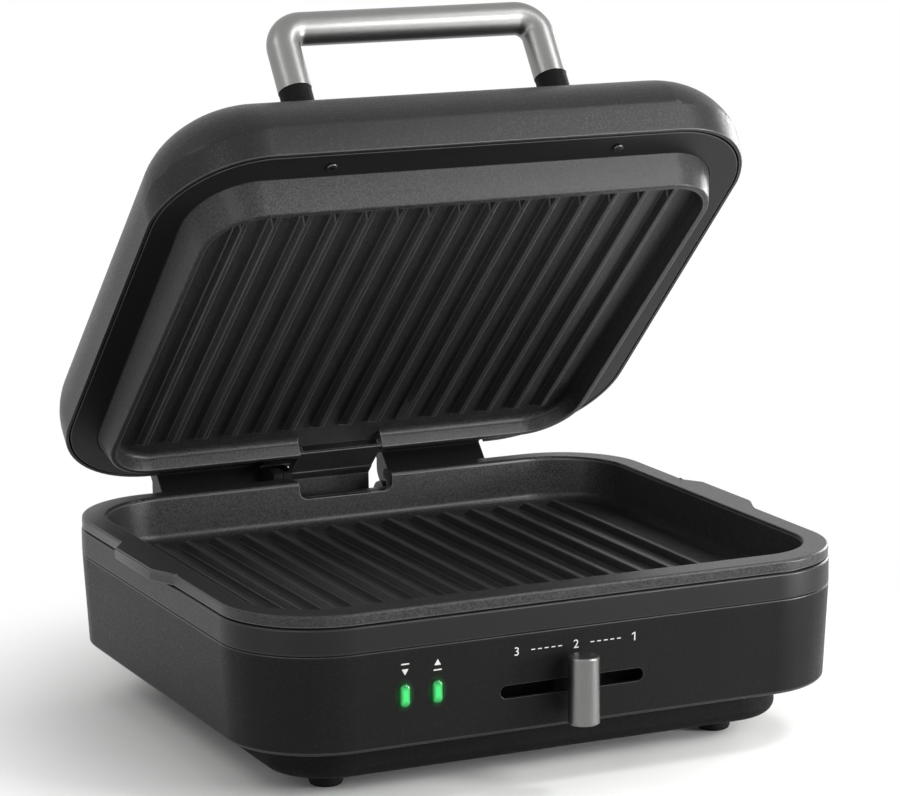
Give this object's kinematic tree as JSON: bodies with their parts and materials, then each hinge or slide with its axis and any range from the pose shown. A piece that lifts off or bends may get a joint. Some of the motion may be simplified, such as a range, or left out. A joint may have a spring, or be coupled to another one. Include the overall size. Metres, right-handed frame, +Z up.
{
  "type": "electric indoor grill with hinged lid",
  "caption": "Countertop contact grill: deep ribbed lower pan in a dark housing, domed hinged lid with a ribbed upper plate and a steel bar handle, slide control and indicator lenses.",
  "frame": {"origin": "on the surface the feet stand on, under the middle of the object's bounding box with the lid open as stored", "axes": "+X to the right seen from the front, +Y to the back where the hinge is, +Z up"},
  "size_m": [0.368, 0.3744, 0.3939],
  "materials": {
    "housing": "near-black moulded plastic with a fine grain",
    "band": "satin near-black trim",
    "underbody": "dull near-black plastic",
    "rubber": "matte black rubber",
    "screw_steel": "plain steel",
    "plate_coating": "cast aluminium with a speckled dark non-stick coating",
    "element_steel": "heat-tinted steel tube",
    "shield_sheet": "plain aluminised sheet",
    "terminal_ceramic": "unglazed ceramic",
    "board": "green circuit board",
    "green_lens": "lit green lens",
    "inner_plastic": "black moulded plastic",
    "brushed_metal": "satin brushed steel",
    "hinge_metal": "black painted casting",
    "nylon": "natural nylon",
    "cup_plastic": "black moulded plastic",
    "frame_black": "smooth black painted sheet",
    "arm_black": "black glass-filled plastic",
    "ferrule_black": "black heat-proof plastic"
  },
  "bodies": {
    "base": {"base_shell": "housing", "trim_band": "band", "underbody": "underbody", "feet": "rubber", "underbody_screws": "screw_steel", "lower_pan": "plate_coating", "lower_element": "element_steel", "lower_shield": "shield_sheet", "element_saddles": "shield_sheet", "thermostat": "element_steel", "terminal_block": "terminal_ceramic", "cord_gland": "rubber", "led_board": "board", "lens_left": "green_lens", "lens_right": "green_lens", "slide_track": "inner_plastic", "hinge_bracket_left": "hinge_metal", "hinge_bracket_right": "hinge_metal", "hinge_pins": "screw_steel", "hinge_washers": "nylon", "lead_guard": "rubber", "cup_shelf": "inner_plastic"},
    "lid": {"lid_shell": "housing", "lid_frame": "frame_black", "upper_plate": "plate_coating", "upper_element": "element_steel", "upper_shield": "shield_sheet", "hinge_arm_left": "arm_black", "hinge_arm_right": "arm_black", "lid_screws": "screw_steel", "handle_tube": "brushed_metal", "ferrule_left": "ferrule_black", "ferrule_right": "ferrule_black", "handle_screws": "screw_steel"},
    "slider": {"slide_carriage": "inner_plastic", "slide_knob": "brushed_metal"},
    "cup": {"drip_cup": "cup_plastic"}
  },
  "joints": [
    {"name": "lid_hinge", "type": "hinge", "parent": "base", "child": "lid", "pos_m": [0, 0.16349, 0.08515], "axis": [-1, 0, 0], "range_deg": [-43, 55]},
    {"name": "temperature_slide", "type": "slide", "parent": "base", "child": "slider", "axis": [1, 0, 0], "range_m": [-0.0345, 0.0345]},
    {"name": "drip_cup_slide", "type": "slide", "parent": "base", "child": "cup", "axis": [0, 1, 0], "range_m": [0, 0.036]}
  ]
}
